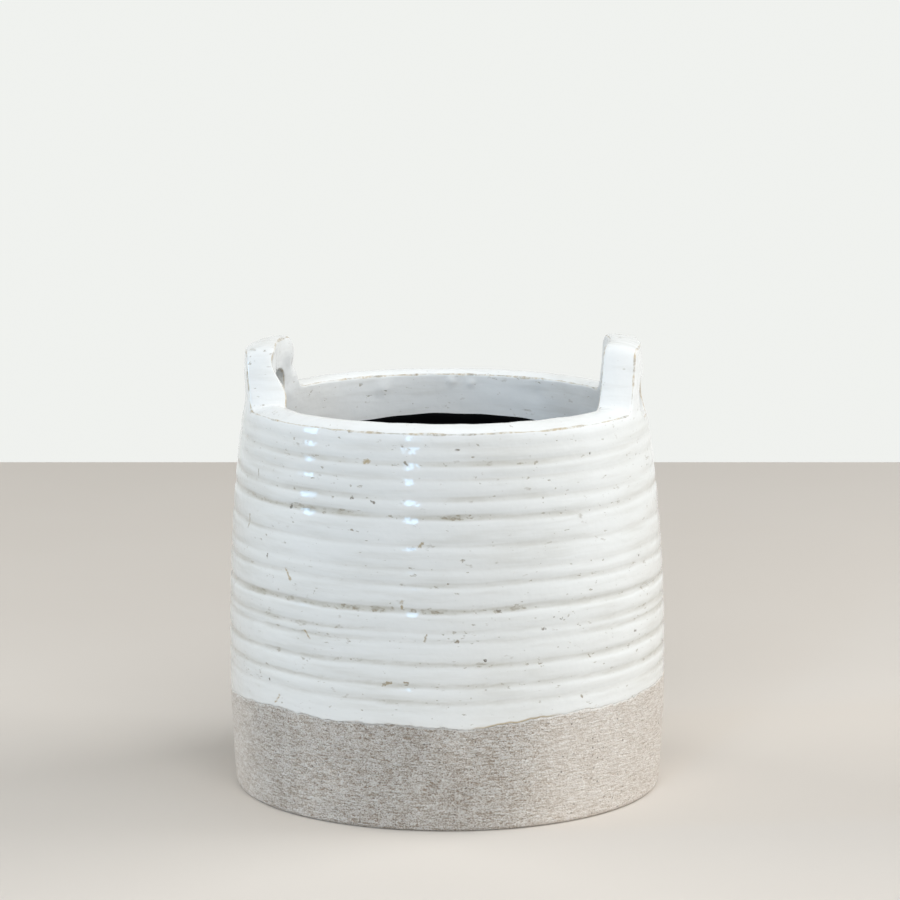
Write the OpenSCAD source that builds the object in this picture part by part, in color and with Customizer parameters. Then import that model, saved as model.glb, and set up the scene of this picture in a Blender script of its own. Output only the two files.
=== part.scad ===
// Thrown stoneware planter with two pierced lugs, a bare foot band and a black waterproof lining.
// Millimetres, +Z up, the origin at the middle of the underside, the lugs on the X axis.

/* [Pot] */
// Height of the rim's outer edge above the ground
rim_height = 190; // [170:1:220]
// Largest outer radius
belly_radius = 107.4; // [100:0.1:118]
// Height of the largest radius
belly_height = 57; // [45:1:75]
// How far the wall draws in from the belly down to the ground
base_draw = 2.6; // [0:0.1:8]
// How far the wall draws in from the belly up to the rim
rim_draw = 9.2; // [4:0.1:15]
// Thickness of the thrown wall, glaze included
wall = 15.5; // [12:0.1:18]
// Thickness of the floor slab
floor_thickness = 13; // [9:0.5:18]
// How far the floor slab is set up from the ground
foot_recess = 1.5; // [0.5:0.1:3]
// Rounding of the outer foot edge
foot_round = 2.2; // [1:0.1:4]

/* [Rim] */
// Rounding of the rim's two edges
arris = 1.8; // [1.4:0.1:2.4]
// How far the crest stands above the outer edge of the rim
lip_rise = 3; // [1:0.1:4]

/* [Throwing rings] */
// Height of the strongest ring above its grooves
ring_depth = 0.9; // [0.2:0.1:1.4]

/* [Lugs] */
// Height of a lug's outer top edge above the rim's outer edge
lug_height = 27; // [24:0.5:34]
// How far a lug's crest stands above its outer top edge
lug_crown = 6.5; // [3:0.1:8]
// Half width of a lug at the rim
lug_foot_half = 35; // [31:0.5:42]
// Half width of a lug at its top, before the corners are rounded
lug_top_half = 23; // [21:0.5:29]
// How far the lug's outer face leans in over its height
lug_lean = 1.3; // [0:0.1:3]
// Radius of the lug's top corners
lug_corner = 11; // [7:0.5:13]
// Radius of the fillet between lug and rim
lug_fillet = 13; // [8:0.5:16]
// Half length of the finger slot
slot_half = 18; // [13:0.5:20]
// Height of the finger slot
slot_height = 18.5; // [14:0.5:19]
// Height of the slot's middle above the rim's outer edge
slot_rise = 3.8; // [3:0.1:6]
// How far the clay of a lug reaches down into the wall
lug_root = 12; // [11:0.5:16]

/* [Coats] */
// Thickness of the glaze
glaze = 0.8; // [0.4:0.1:1.1]
// Height where the glaze ends above the bare foot band
glaze_line = 52; // [40:1:70]
// Depth of the glaze inside the pot, below the rim
inner_glaze_depth = 32; // [26:1:60]
// Thickness of the black lining
lining = 1.5; // [0.8:0.1:2.5]
// Distance from the rim down to the lining's upper edge
lining_drop = 20; // [14:1:25]

/* [Hidden] */
$fn = 96;
// Where each groove of the throwing rings lies, as a share of the way from the glaze line to the rim
groove_shares = [0, 0.085, 0.14, 0.21, 0.29, 0.335, 0.4, 0.49, 0.545, 0.625, 0.72, 0.78, 0.85, 0.905, 1];
// How far each ring stands out, as a share of the strongest one
ring_shares = [0.5, 0.7, 1, 0.8, 0.5, 0.9, 1, 0.6, 0.7, 0.8, 0.7, 0.7, 0.5, 0.6];
// How fast the shoulder draws in from the belly to the rim
shoulder_power = 1.5;
// Angle over which the curve of the rim's top runs from its outer edge, past its crest, to its inner edge
lip_turn = 150;
// The same angle for the top of a lug, whose inner edge stays nearly as high as its crest
crown_turn = 115;
// Steps along each ring, along the lip, round an edge, round a lug's corner and along a plain wall
ring_steps = 6;
lip_steps = 8;
arris_steps = 4;
corner_steps = 8;
wall_steps = 6;
// Angle of the ring that a lug is cut from
lug_sweep = 120;
// Overrun for cuts
over = 1;
base_radius = belly_radius - base_draw;
rim_radius = belly_radius - rim_draw;
floor_top = foot_recess + floor_thickness;
lug_top = rim_height + lug_height;
lining_top = rim_height - lining_drop;
inner_glaze_low = rim_height - inner_glaze_depth;
root_height = rim_height - lug_root;
root_half = lug_foot_half + lug_fillet;
slot_middle = rim_height + slot_rise;

// Outer radius of the plain wall at a height, up to the rim and on up the lugs
function body_radius(h) =
    h < belly_height
    ? belly_radius - base_draw * pow(1 - h / belly_height, 2)
    : h < rim_height
    ? belly_radius - rim_draw * pow((h - belly_height) / (rim_height - belly_height), shoulder_power)
    : rim_radius - lug_lean * (h - rim_height) / lug_height;
function inner_radius(h) = body_radius(max(h, floor_top)) - wall;
function groove_height(i) = glaze_line + groove_shares[i] * (rim_height - glaze_line);
function ring_bulge(i, share) = 4 * ring_depth * ring_shares[i] * share * (1 - share);
function arc(middle, radius, from, to, steps) =
    [for (i = [0 : steps]) middle + radius * [cos(from + (to - from) * i / steps),
                                              sin(from + (to - from) * i / steps)]];
function reversed(points) = [for (i = [len(points) - 1 : -1 : 0]) points[i]];

// Ringed outer face from the glaze line up to the rounding of the rim, set in by the depth given
function ringed_face(set_in) = let (top = rim_height - arris)
    [for (i = [0 : len(ring_shares) - 1], j = [0 : ring_steps - 1])
        let (share = j / ring_steps,
             h = groove_height(i) + share * (groove_height(i + 1) - groove_height(i)))
        if (h < top) [body_radius(h) + ring_bulge(i, share) - set_in, h]];

// Inner face between two heights, from the upper one down
function inner_face(low, high, set_in) =
    [for (i = [0 : wall_steps])
        let (h = high + (low - high) * i / wall_steps) [inner_radius(h) + set_in, h]];

// Domed top of a wall from its outer face to its inner face: a rounded edge, the dome, a rounded edge
function lip(level, rise, turn, outer, inner, set_in) = let (
    steepness = rise * turn * PI / 180 / (outer - inner),
    outer_end = 90 - atan(steepness),
    inner_start = 90 - atan(steepness * cos(turn)),
    outer_middle = [outer - arris, level - arris],
    dome_start = outer_middle + arris * [cos(outer_end), sin(outer_end)],
    inner_middle = [inner + arris,
                    dome_start.y + rise * sin(turn) - arris * sin(inner_start)],
    dome_width = dome_start.x - inner_middle.x - arris * cos(inner_start))
    concat(
        arc(outer_middle, arris - set_in, 0, outer_end, arris_steps),
        [for (i = [1 : lip_steps - 1]) let (share = i / lip_steps)
            dome_start + [-share * dome_width, rise * sin(turn * share) - set_in]],
        arc(inner_middle, arris - set_in, inner_start, 180, arris_steps));
function rim_lip(set_in) =
    lip(rim_height, lip_rise, lip_turn, rim_radius, inner_radius(rim_height), set_in);
function lug_lip(set_in) =
    lip(lug_top, lug_crown, crown_turn, body_radius(lug_top), inner_radius(lug_top), set_in);
function last(points) = points[len(points) - 1];

// Section of the fired clay wall: bare below the glaze line, set back by the glaze above it
module wall_section() {
    top = rim_lip(glaze);
    polygon(concat(
        [[inner_radius(0), 0]],
        arc([base_radius - foot_round, foot_round], foot_round, -90, 0, arris_steps),
        [for (i = [1 : wall_steps]) let (h = foot_round + (glaze_line - foot_round) * i / wall_steps)
            [body_radius(h), h]],
        ringed_face(glaze),
        top,
        inner_face(inner_glaze_low, last(top).y, glaze),
        inner_face(floor_top, inner_glaze_low, 0)));
}

// Section of the glaze: up the outside, over the rim and down the inside
module glaze_section() {
    outer_lip = rim_lip(0);
    clay_lip = rim_lip(glaze);
    polygon(concat(
        ringed_face(0),
        outer_lip,
        inner_face(inner_glaze_low, last(outer_lip).y, 0),
        reversed(inner_face(inner_glaze_low, last(clay_lip).y, glaze)),
        reversed(clay_lip),
        reversed(ringed_face(glaze))));
}

// Section of the ring that a lug is cut from, its outer and inner faces set in by the depth given
module lug_ring_section(set_in) {
    dome = rim_lip(set_in);
    polygon(concat(
        [for (p = ringed_face(set_in)) if (p.y > root_height) p],
        [dome[0]],
        lug_lip(set_in),
        [last(dome),
         [inner_radius(root_height) + set_in, root_height],
         [body_radius(root_height) - set_in, root_height]]));
}

// Section of the space above the rim, its floor the rim's dome set in by the depth given
module above_rim_section(set_in) {
    dome = rim_lip(set_in);
    outside = rim_radius + over;
    inside = inner_radius(lug_top) - over;
    sky = lug_top + lug_crown + 2 * over;
    polygon(concat(
        [[outside, sky], [outside, dome[0].y + over]],
        dome,
        [[inside, last(dome).y + over], [inside, sky]]));
}

// Outline of the space beside a lug, seen along X: out from the fillet at the rim, up the slanted
// side and round the top corner
module beside_lug(set_in) {
    foot = rim_height - 1.5 * arris;
    crest = lug_top + lug_crown + over;
    slant = atan((lug_foot_half - lug_top_half) / lug_height);
    reach = tan((90 - slant) / 2);
    fillet_middle = [lug_foot_half + lug_fillet * reach, foot + lug_fillet];
    corner_middle = [lug_foot_half - (crest - foot) * tan(slant) - lug_corner * reach,
                     crest - lug_corner];
    far = root_half + over;
    sky = crest + over;
    for (side = [0, 1]) mirror([side, 0])
        polygon(concat(
            [[far, fillet_middle.y - lug_fillet - set_in]],
            arc(fillet_middle, lug_fillet + set_in, 270, 180 + slant, corner_steps),
            arc(corner_middle, lug_corner - set_in, slant, 90, corner_steps),
            [[corner_middle.x, sky], [far, sky]]));
}

// Carries a shape drawn in the plane across X out through the wall on the +X side
module across_wall() {
    translate([rim_radius / 2, 0, 0]) rotate([90, 0, 90])
        linear_extrude(rim_radius) children();
}

// Finger slot through a lug, widened all round by the depth given
module slot(set_in) {
    radius = slot_height / 2;
    across_wall() translate([0, slot_middle]) {
        for (end = [-1, 1]) translate([end * (slot_half - radius), 0]) circle(radius + set_in);
        square([2 * (slot_half - radius), 2 * (radius + set_in)], center = true);
    }
}

// Sweeps a section round the part of the ring that holds the +X lug
module lug_sector() {
    rotate([0, 0, -lug_sweep / 2]) rotate_extrude(angle = lug_sweep) children();
}

// Space from a lug's root in the rim up to the height given above the root
module root_block(height) {
    across_wall() translate([-root_half, root_height]) square([2 * root_half, height]);
}

// A lug with its root in the wall, every face set in by the depth given
module lug_form(set_in) {
    difference() {
        intersection() {
            lug_sector() lug_ring_section(set_in);
            root_block(lug_root + lug_height + lug_crown + over);
        }
        intersection() {
            lug_sector() above_rim_section(set_in);
            across_wall() beside_lug(set_in);
        }
        slot(set_in);
    }
}

module lug_glaze() {
    difference() {
        lug_form(0);
        lug_form(glaze);
    }
}

module root_pockets() {
    for (side = [0, 1]) mirror([side, 0, 0]) root_block(lug_root + lip_rise + over);
}

module floor_slab() {
    color("#b3aca1") translate([0, 0, foot_recess])
        cylinder(r = inner_radius(0), h = floor_thickness);
}

module thrown_wall() {
    color("#b9b2a7") difference() {
        rotate_extrude() wall_section();
        root_pockets();
    }
}

module lug_left() {
    color("#a89f92") mirror([1, 0, 0]) lug_form(glaze);
}

module lug_right() {
    color("#a89f92") lug_form(glaze);
}

module glaze_coat() {
    color("#e6e6e2") difference() {
        rotate_extrude() glaze_section();
        root_pockets();
    }
}

module lug_glaze_left() {
    color("#efefec") mirror([1, 0, 0]) lug_glaze();
}

module lug_glaze_right() {
    color("#efefec") lug_glaze();
}

module waterproof_lining() {
    color("#141416") rotate_extrude()
        polygon(concat(
            [[0, floor_top]],
            reversed(inner_face(floor_top, lining_top, 0)),
            inner_face(floor_top + lining, lining_top, -lining),
            [[0, floor_top + lining]]));
}

floor_slab();
thrown_wall();
lug_left();
lug_right();
glaze_coat();
lug_glaze_left();
lug_glaze_right();
waterproof_lining();
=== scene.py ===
"""Visual model of a thrown stoneware planter with its glaze, bare clay, lining and stage."""

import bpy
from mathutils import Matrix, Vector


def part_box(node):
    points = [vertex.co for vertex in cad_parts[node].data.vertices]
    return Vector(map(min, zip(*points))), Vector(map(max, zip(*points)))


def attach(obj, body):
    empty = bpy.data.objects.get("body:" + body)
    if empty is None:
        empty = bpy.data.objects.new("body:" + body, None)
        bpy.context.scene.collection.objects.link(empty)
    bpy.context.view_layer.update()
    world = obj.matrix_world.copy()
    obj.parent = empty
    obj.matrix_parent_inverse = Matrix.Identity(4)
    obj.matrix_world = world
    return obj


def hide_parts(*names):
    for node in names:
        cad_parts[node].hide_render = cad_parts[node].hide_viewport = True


bl_info = {
    "name": "Stoneware Planter",
    "version": (1, 0, 0),
    "blender": (4, 5, 0),
    "location": "View3D > Sidebar > Planter",
    "description": "Builds a thrown planter with pierced lugs, glaze, bare foot band and lining",
    "category": "Object",
}

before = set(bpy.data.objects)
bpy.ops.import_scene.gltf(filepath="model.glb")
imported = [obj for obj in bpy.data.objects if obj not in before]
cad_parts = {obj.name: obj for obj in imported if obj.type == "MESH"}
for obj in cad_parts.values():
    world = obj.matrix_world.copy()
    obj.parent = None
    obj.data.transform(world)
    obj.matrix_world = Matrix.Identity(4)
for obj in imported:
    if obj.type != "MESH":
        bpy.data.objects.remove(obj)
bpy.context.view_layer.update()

import math

import bmesh
import bpy
import numpy as np
from bpy.props import FloatProperty, FloatVectorProperty, IntProperty, PointerProperty
from mathutils import Vector, kdtree
from mathutils.geometry import delaunay_2d_cdt

MM = 0.001
# Points closer together than this are welded
WELD = 0.01 * MM
# How fast the shoulder draws in from the belly to the rim
SHOULDER_POWER = 2.3
# How fast the pot's lean grows towards the rim
LEAN_POWER = 2.5
# Where the glaze's lower edge swells up or hangs down: turn and reach in degrees, and rise
EDGE_SWELLS = ((-139.0, 19.0, 0.0036), (-80.0, 9.0, -0.0024))
# Waves in the glaze's lower edge: number round the pot, start, and share of the whole
EDGE_WAVES = ((3, 0.6, 0.5), (7, 2.1, 0.35), (13, 0.3, 0.25), (29, 1.7, 0.25), (47, 4.0, 0.20),
              (83, 2.9, 0.16), (127, 0.8, 0.12))
# Angle over which the curve of the top runs from its outer to its inner edge: rim and lugs
LIP_TURN = math.radians(150)
CROWN_TURN = math.radians(115)
# Rise of a lug's crown at its corners, as a share of that in its middle
CORNER_CROWN = 0.85
# Steps round a small edge, over the lip, through a slot and round a lug's bend
EDGE_STEPS = 4
LIP_STEPS = 9
SLOT_STEPS = 5
BEND_STEPS = 24
# Rows of faces up the glaze, up the clay under it and up the bare band
GLAZE_ROWS, UNDER_ROWS, BAND_ROWS = 80, 12, 56
# Steps round the lining, and its rounded upper edge: depth and height as shares of its thickness
LINING_STEPS = 288
LINING_LIP = ((0.35, 0.25), (0.8, -0.1), (1.0, -0.6))
# Radius of the lining's curve from the wall into the floor
COVE = 4 * MM
# Height on the pot's axis that every lamp points at, and the width of the camera's sensor
LAMP_AIM_HEIGHT = 120 * MM
SENSOR_WIDTH = 36.0
# Throwing grooves: height above the ground in metres, and depth as a share of the deepest one
GROOVES = (
    (0.0590, 0.30), (0.0634, 0.65), (0.0712, 0.95), (0.0810, 0.95), (0.0923, 0.60), (0.0972, 0.60),
    (0.1072, 1.00), (0.1197, 0.55), (0.1271, 0.40), (0.1382, 0.50), (0.1513, 0.85), (0.1599, 0.55),
    (0.1691, 0.45), (0.1762, 0.60), (0.1830, 0.30),
)
# Half width of a groove, and how deep it still is there as a share of its depth
GROOVE_HALF = 1.6 * MM
GROOVE_SHOULDER = 0.28
# How far the ridges stand out, as a share of the ring depth
RIDGE_SHARE = 0.28
# Heights over which the wall's marks fade out below the rim, and the clay's at the glaze's edge
RIM_FADE, EDGE_FADE = 3 * MM, 0.4 * MM
# Places where the thrower's thumb left the inner face thicker or thinner: turn from the right lug,
# height and reach in metres, and how far the face comes in
THUMB_MARKS = (
    (math.pi - 0.27, 0.2110, 0.0085, 0.0018),
    (math.pi + 0.28, 0.2105, 0.0080, -0.0034),
    (math.pi + 0.37, 0.1970, 0.0080, 0.0024),
    (math.pi - 0.38, 0.2030, 0.0035, -0.0012),
    (0.5 * math.pi + 0.02, 0.1870, 0.0020, 0.0008),
    (0.5 * math.pi - 0.10, 0.1862, 0.0018, 0.0009),
    (0.5 * math.pi + 0.45, 0.1840, 0.0040, 0.0007),
    (0.5 * math.pi - 0.52, 0.1820, 0.0045, -0.0007),
)
# Marks that catch the eye on the glaze: turn in degrees, then height, length, slant in degrees and
# half width, with the sizes in millimetres, and how dark the mark is, from ochre to iron
GLAZE_MARKS = (
    (-132, 118.5, 6.0, -50, 0.6, 0.1), (-125, 91.5, 5.0, -45, 0.6, 0.2),
    (-136, 56.5, 5.0, 50, 0.6, 0.1), (-98, 110.0, 3.5, 85, 0.7, 0.2),
    (-148, 163.0, 3.5, 90, 0.4, 0.6), (-152, 138.5, 7.0, 75, 0.5, 0.4),
    (-141, 125.0, 2.0, 85, 0.5, 0.9), (-108, 176.5, 1.5, 15, 1.0, 0.1),
    (-97, 176.5, 1.5, -60, 0.8, 0.7), (-93, 138.5, 2.0, 45, 0.8, 0.3),
    (-83, 183.0, 0.8, 0, 0.8, 0.9), (-73, 107.0, 0.8, 0, 0.7, 0.9), (-61, 97.0, 1.0, 0, 0.7, 0.9),
    (-84, 93.0, 1.0, 0, 0.7, 0.7), (-58, 102.0, 0.5, 0, 0.5, 0.9), (-56, 101.0, 0.5, 0, 0.5, 0.9),
    (-29, 87.5, 1.0, -15, 0.7, 0.9), (-50, 62.0, 0.8, -20, 0.7, 0.6),
    (-102, 72.0, 4.0, 15, 0.7, 0.4), (-97, 73.0, 2.0, -25, 0.6, 0.5),
    (-112, 159.0, 1.5, 25, 0.6, 0.9), (-106, 158.0, 1.5, -30, 0.6, 0.9),
    (-112, 144.0, 3.0, -5, 0.5, 0.6), (-92, 94.5, 3.5, 65, 0.5, 0.4),
)


def length(name, description, default, **more):
    """A length that a user can set."""
    return FloatProperty(name=name, description=description, default=default, precision=5,
                         unit="LENGTH", **more)


def angle(name, description, default):
    """An angle that a user can set."""
    return FloatProperty(name=name, description=description, default=default, subtype="ANGLE")


def share(name, description, default):
    """A share from nothing to all."""
    return FloatProperty(name=name, description=description, default=default, min=0.0, max=1.0,
                         subtype="FACTOR")


def power(name, description, default):
    """A lamp's power setting in watts."""
    return FloatProperty(name=name, description=description, default=default, unit="POWER")


def tint(name, description, default):
    """A colour that a user can set."""
    return FloatVectorProperty(name=name, description=description, default=default, size=3,
                               min=0.0, max=1.0, subtype="COLOR")


class PlanterPot(bpy.types.PropertyGroup):
    """Sizes of the thrown pot."""

    rim_height: length("Rim height", "Height of the rim's outer edge", 190.2 * MM)
    belly_radius: length("Belly radius", "Largest outer radius", 107.4 * MM)
    belly_height: length("Belly height", "Height of the largest radius", 57 * MM)
    base_draw: length("Base draw", "How far the wall draws in down to the ground", 2.6 * MM)
    rim_draw: length("Rim draw", "How far the wall draws in up to the rim", 9.2 * MM)
    wall: length("Wall", "Thickness of the wall with its glaze", 15.5 * MM)
    floor_top: length("Floor top", "Height of the clay floor", 14.5 * MM)
    foot_round: length("Foot round", "Rounding of the foot's outer edge", 2.2 * MM)
    arris: length("Arris", "Rounding of the rim's two edges", 1.8 * MM)
    lip_rise: length("Lip rise", "Rise of the rim's crest above its outer edge", 2.6 * MM)
    mesh_step: length("Mesh step", "Size of a face on the wall", 1.5 * MM)


class PlanterLugs(bpy.types.PropertyGroup):
    """Sizes of the pierced lugs."""

    height: length("Height", "Height of the right lug's outer top edge above the rim", 29.3 * MM)
    height_left: length("Left height", "Height of the left lug's outer top edge", 26.2 * MM)
    crown: length("Crown", "Rise of the right lug's crest above that edge", 1.9 * MM)
    crown_left: length("Left crown", "Rise of the left lug's crest above that edge", 2.9 * MM)
    side_rise: length("Side rise", "Swell of a lug's cut side", 0.8 * MM)
    foot_front: length("Foot front", "From a lug's middle to its front side at the rim", 33.6 * MM)
    top_front: length("Top front", "From a lug's middle to its front side at the top", 20.5 * MM)
    foot_back: length("Foot back", "From a lug's middle to its back side at the rim", 36.5 * MM)
    top_back: length("Top back", "From a lug's middle to its back side at the top", 25.5 * MM)
    lean: length("Lean", "How far a lug's outer face leans in", 1.3 * MM)
    corner: length("Corner", "Radius of the top corners", 7 * MM)
    fillet: length("Fillet", "Radius where the side meets the rim", 6 * MM)
    slot_half: length("Slot half length", "Half length of the finger slot", 18 * MM)
    slot_height: length("Slot height", "Height of the finger slot", 18.5 * MM)
    slot_rise: length("Slot rise", "Height of the slot's middle above the rim", 3.8 * MM)
    slot_edge: length("Slot edge", "Rounding of the slot's edges", 1.4 * MM)
    root_depth: length("Root depth", "How far a lug reaches down into the wall", 12 * MM)
    root_half: length("Root half width", "Half width of the lug's root in the rim", 48 * MM)


class PlanterCoats(bpy.types.PropertyGroup):
    """Sizes of the glaze and the lining."""

    glaze: length("Glaze", "Thickness of the glaze", 0.8 * MM)
    bead: length("Bead", "Height of the glaze's rounded lower edge", 0.9 * MM)
    glaze_line: length("Glaze line", "Mean height of the glaze's lower edge", 51.8 * MM)
    glaze_tilt: length("Glaze tilt", "How far the dipped edge is out of level", 4 * MM)
    glaze_waves: length("Glaze waves", "Size of the waves in the dipped edge", 0.9 * MM)
    inner_low: length("Inner glaze edge", "Lowest height of the glaze inside", 158 * MM)
    proud: length("Proud", "How far the glaze stands out from the bare clay", 0.12 * MM)
    lining: length("Lining", "Thickness of the lining", 1.5 * MM)
    lining_top: length("Lining top", "Height of the lining's upper edge at the back",
                       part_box("waterproof_lining")[1].z - 0.5 * MM)
    lining_waves: length("Lining waves", "Size of the waves in the lining's upper edge", 1.7 * MM)


class PlanterHand(bpy.types.PropertyGroup):
    """What the thrower's hand leaves in the form."""

    ring_depth: length("Ring depth", "Depth of the deepest throwing groove", 1.0 * MM)
    wander: length("Wander", "How far a groove wanders up and down", 1.6 * MM)
    wobble: length("Wobble", "How far the wall is out of round", 0.5 * MM)
    lean: length("Lean", "How far the pot leans towards the left lug at its rim", 1.7 * MM)
    rim_tilt: length("Rim tilt", "How far the rim is up at the front and down behind", 0.9 * MM)
    rim_wave: length("Rim wave", "How far the rim is out of level in short waves", 0.45 * MM)
    dents: length("Dents", "Size of the dents in the rim and the lugs", 0.5 * MM)
    ripple: length("Ripple", "Size of the finger marks inside", 0.35 * MM)
    grit: length("Grit", "Size of the grains that stand out of the bare clay", 0.35 * MM)
    seed: IntProperty(name="Seed", description="Seed of all hand marks", default=7)


class PlanterLooks(bpy.types.PropertyGroup):
    """Colours of the finishes."""

    glaze: tint("Glaze", "Thick glaze", (0.83, 0.845, 0.835))
    # Greyer glaze where iron shows through, also used as painted shade in the grooves and over the
    # outer face
    glaze_thin_and_groove_shade: tint("Thin glaze", "Glaze where iron shows through it", (0.50, 0.48, 0.415))
    speck: tint("Speck", "Iron specks under the glaze", (0.26, 0.215, 0.145))
    iron: tint("Iron", "Iron specks that break through", (0.10, 0.08, 0.055))
    ochre: tint("Ochre", "Streaks and edges where the glaze breaks to brown", (0.44, 0.33, 0.17))
    clay: tint("Clay", "Fired clay", (0.67, 0.615, 0.555))
    # Colour of the hollows in the brushed relief: partly the clay's own darker tone, partly painted
    # shade
    clay_dark: tint("Dark clay", "Hollows in the fired clay", (0.37, 0.295, 0.225))
    # Near-black colour of the pits: partly the clay's dark grains, partly painted shade in the pits
    clay_pit: tint("Clay pits", "Pits in the fired clay", (0.16, 0.13, 0.10))
    # Pale clay: bloom and glaze splashes, and on raised strokes, grains and dots partly the clay's
    # own pale grit and partly painted light and glints
    clay_light: tint("Light clay", "Bloom and grains on the fired clay", (0.86, 0.84, 0.80))
    lining: tint("Lining", "Waterproof lining", (0.0015, 0.0015, 0.0018))
    floor: tint("Floor", "Table under the pot", (0.65, 0.605, 0.55))
    backdrop: tint("Backdrop", "Wall behind the pot", (0.87, 0.885, 0.86))


class PlanterStage(bpy.types.PropertyGroup):
    """Place of the camera and strength of the lights."""

    distance: length("Distance", "From the camera to the pot's axis, along the floor", 2.06)
    camera_height: length("Camera height", "Height of the camera", 0.5364)
    pitch: angle("Pitch", "How far the camera looks down", math.radians(10.21))
    turn: angle("Turn", "How far the pot is turned from the camera", math.radians(3.5))
    sideways: length("Sideways", "Shift of the camera to the right", 1.07 * MM)
    lens: FloatProperty(name="Lens", description="Focal length", default=170.2, unit="CAMERA")
    table_reach: length("Table reach", "From the axis to the table's far and side edges", 0.87)
    table_front: length("Table front", "From the pot's axis to the table's front edge", 0.23)
    dome: FloatProperty(name="Dome", description="Light from all round", default=0.08)
    front: power("Front", "Power of the soft light behind the camera", 41.0)
    left: power("Left", "Power of the soft light at the left", 28.0)
    right: power("Right", "Power of the soft light at the right", 44.0)
    overhead: power("Overhead", "Power of the soft light above", 15.0)
    window: power("Window", "Power of each narrow window", 8.0)


SETTINGS = {
    "planter_pot": PlanterPot, "planter_lugs": PlanterLugs, "planter_coats": PlanterCoats,
    "planter_hand": PlanterHand, "planter_looks": PlanterLooks, "planter_stage": PlanterStage,
}


def settings(*names):
    """The scene's settings of those names."""
    return [getattr(bpy.context.scene, "planter_" + name) for name in names]


def turn_gap(turn, mark):
    """The shorter way round from a mark to a turn, from minus to plus half a turn."""
    return (turn - mark + math.pi) % (2 * math.pi) - math.pi


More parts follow.
